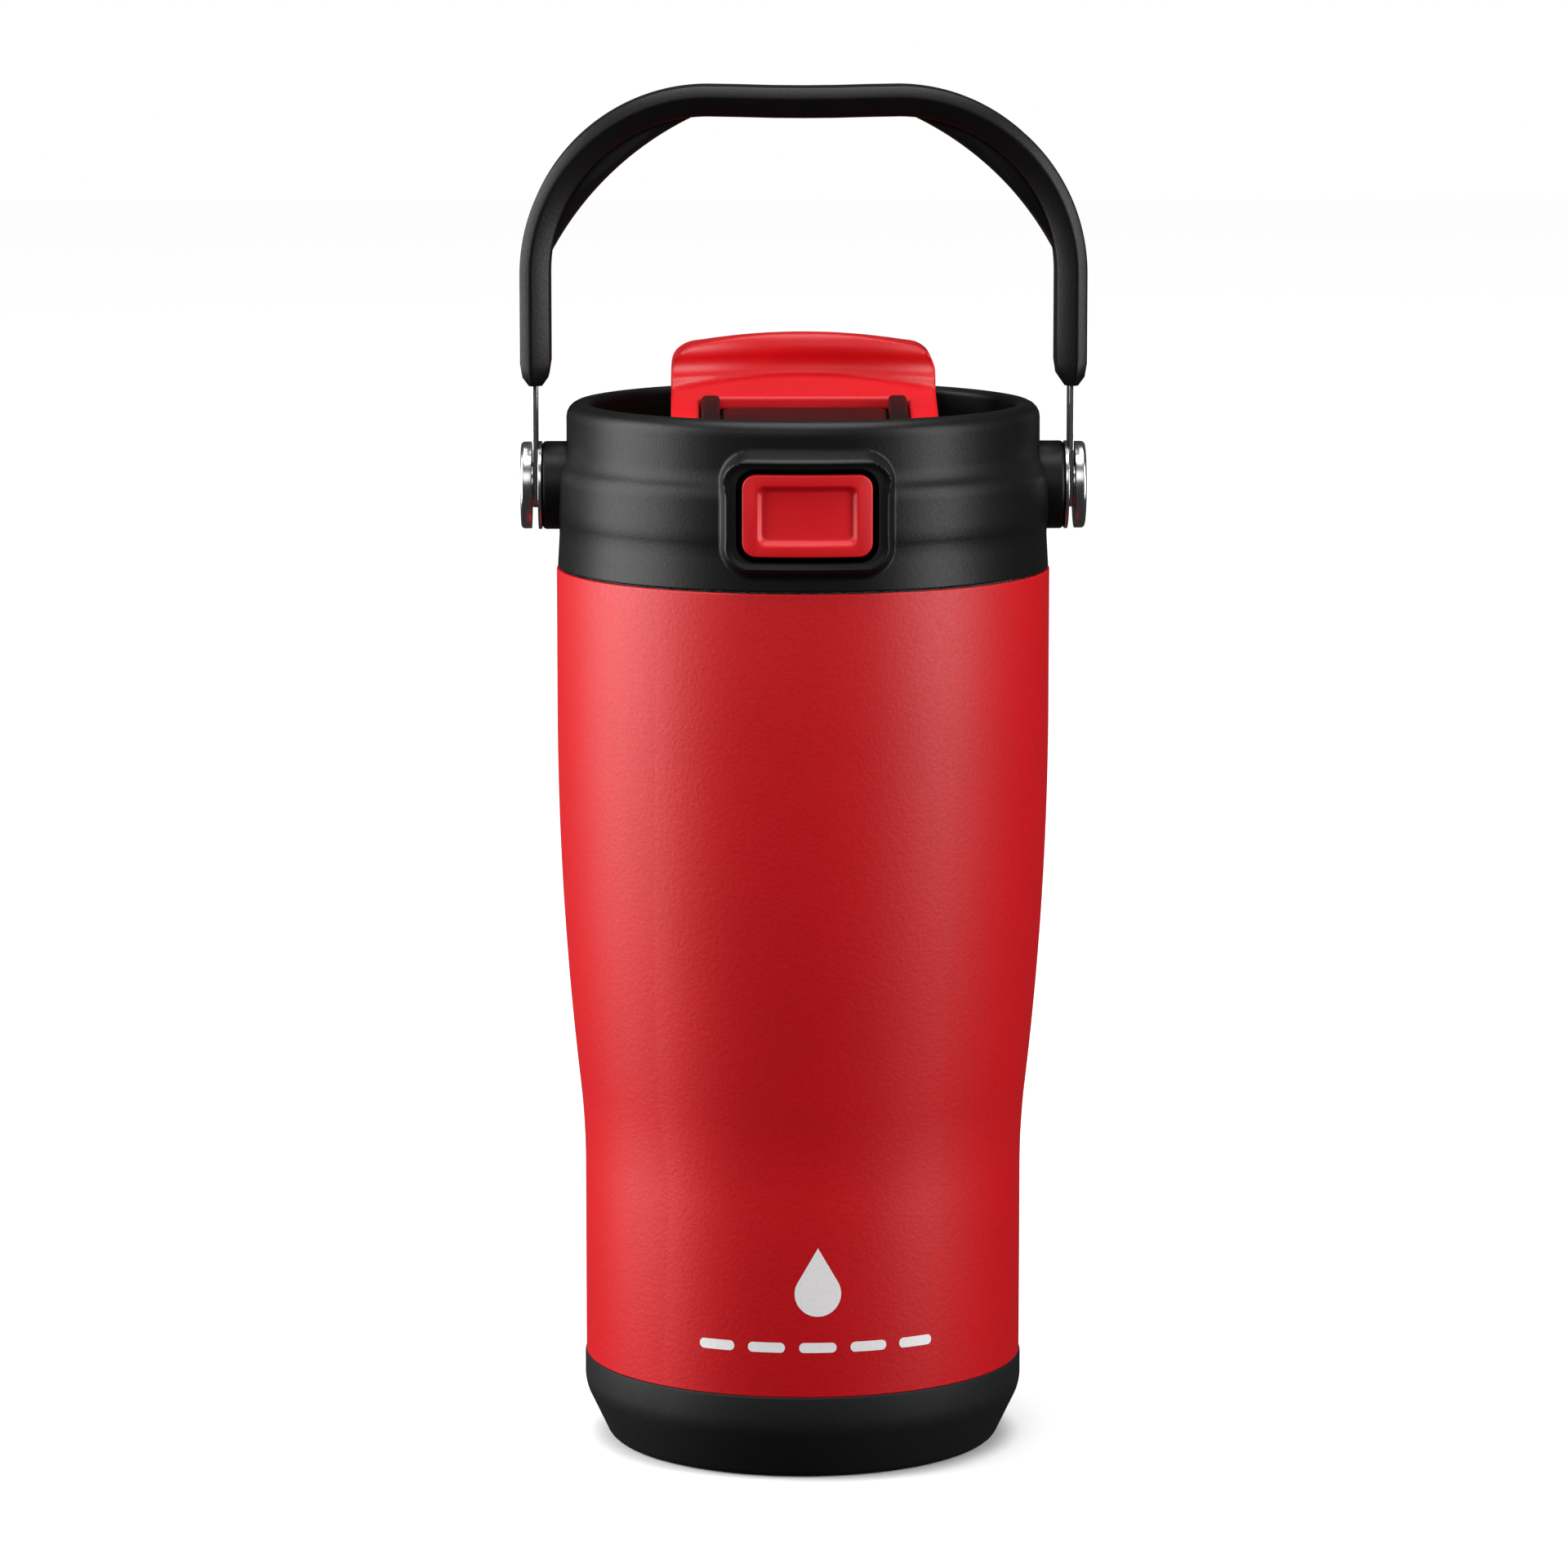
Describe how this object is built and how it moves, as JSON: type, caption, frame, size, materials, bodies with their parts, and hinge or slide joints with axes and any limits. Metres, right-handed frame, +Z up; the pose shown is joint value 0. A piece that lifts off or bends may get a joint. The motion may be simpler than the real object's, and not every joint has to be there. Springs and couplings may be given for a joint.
{
  "type": "insulated travel mug",
  "caption": "Vacuum-insulated travel mug with a waisted steel body, rubber foot, screw lid, push-button flap over a drinking spout and a swing-over carry handle.",
  "frame": {"origin": "centre of the flat base, on the surface the mug stands on", "axes": "+Z up along the mug's axis, -Y towards the button, +X to the right seen from the button side"},
  "size_m": [0.1006, 0.0897, 0.244],
  "materials": {
    "powder_red": "fine-grained powder coat, satin",
    "raw_steel": "bare stainless, brushed",
    "polished_steel": "polished stainless",
    "brass": "turned",
    "black_rubber": "soft matt silicone rubber",
    "black_plastic": "fine spark-eroded texture",
    "red_plastic": "fine satin texture",
    "white_silicone": "translucent silicone",
    "spring_steel": "drawn wire",
    "getter": "sintered",
    "white_ink": "pad printed",
    "solder_glass": "fused"
  },
  "bodies": {
    "mug": {"outer_shell": "powder_red", "outer_base_cap": "raw_steel", "vacuum_seal_bead": "solder_glass", "getter_pellet": "getter", "inner_liner": "raw_steel", "base_boot": "black_rubber"},
    "seal": {"lid_gasket": "white_silicone"},
    "lid": {"lid_shell": "black_plastic", "lid_plug": "black_plastic", "spout": "black_plastic", "spout_seal": "white_silicone", "latch_cover": "black_plastic", "hinge_pin": "polished_steel", "ear_inserts": "brass", "friction_washers": "polished_steel", "spacer_washers": "polished_steel", "pivot_screws": "polished_steel", "flap_spring": "spring_steel", "button_spring": "spring_steel"},
    "button": {"button_cap": "red_plastic", "latch_slide": "black_plastic"},
    "flap": {"flap": "red_plastic", "flap_stopper": "white_silicone"},
    "handle": {"handle_link_right": "polished_steel", "handle_link_left": "polished_steel", "handle_grip": "black_plastic"}
  },
  "joints": [
    {"name": "lid_rise", "type": "slide", "parent": "mug", "child": "seal", "axis": [0, 0, 1], "range_m": [0, 0.00801]},
    {"name": "lid_turn", "type": "hinge", "parent": "seal", "child": "lid", "pos_m": [0, 0, 0.17], "axis": [0, 0, 1], "range_deg": [0, 720]},
    {"name": "button_press", "type": "slide", "parent": "lid", "child": "button", "axis": [0, 1, 0], "range_m": [0, 0.002], "stiffness_N_per_m": 900, "springref_m": -0.002, "deforming": ["button_spring"]},
    {"name": "flap_open", "type": "hinge", "parent": "lid", "child": "flap", "pos_m": [0, 0.0287, 0.1885], "axis": [-1, 0, 0], "range_deg": [0, 105], "deforming": ["flap_spring"]},
    {"name": "handle_swing", "type": "hinge", "parent": "lid", "child": "handle", "pos_m": [0, 0, 0.173], "axis": [1, 0, 0], "range_deg": [-125, 125]}
  ],
  "couplings": [
    {"joint": "lid_rise", "follows": "lid_turn", "m_per_rad": 0.00063662}
  ]
}
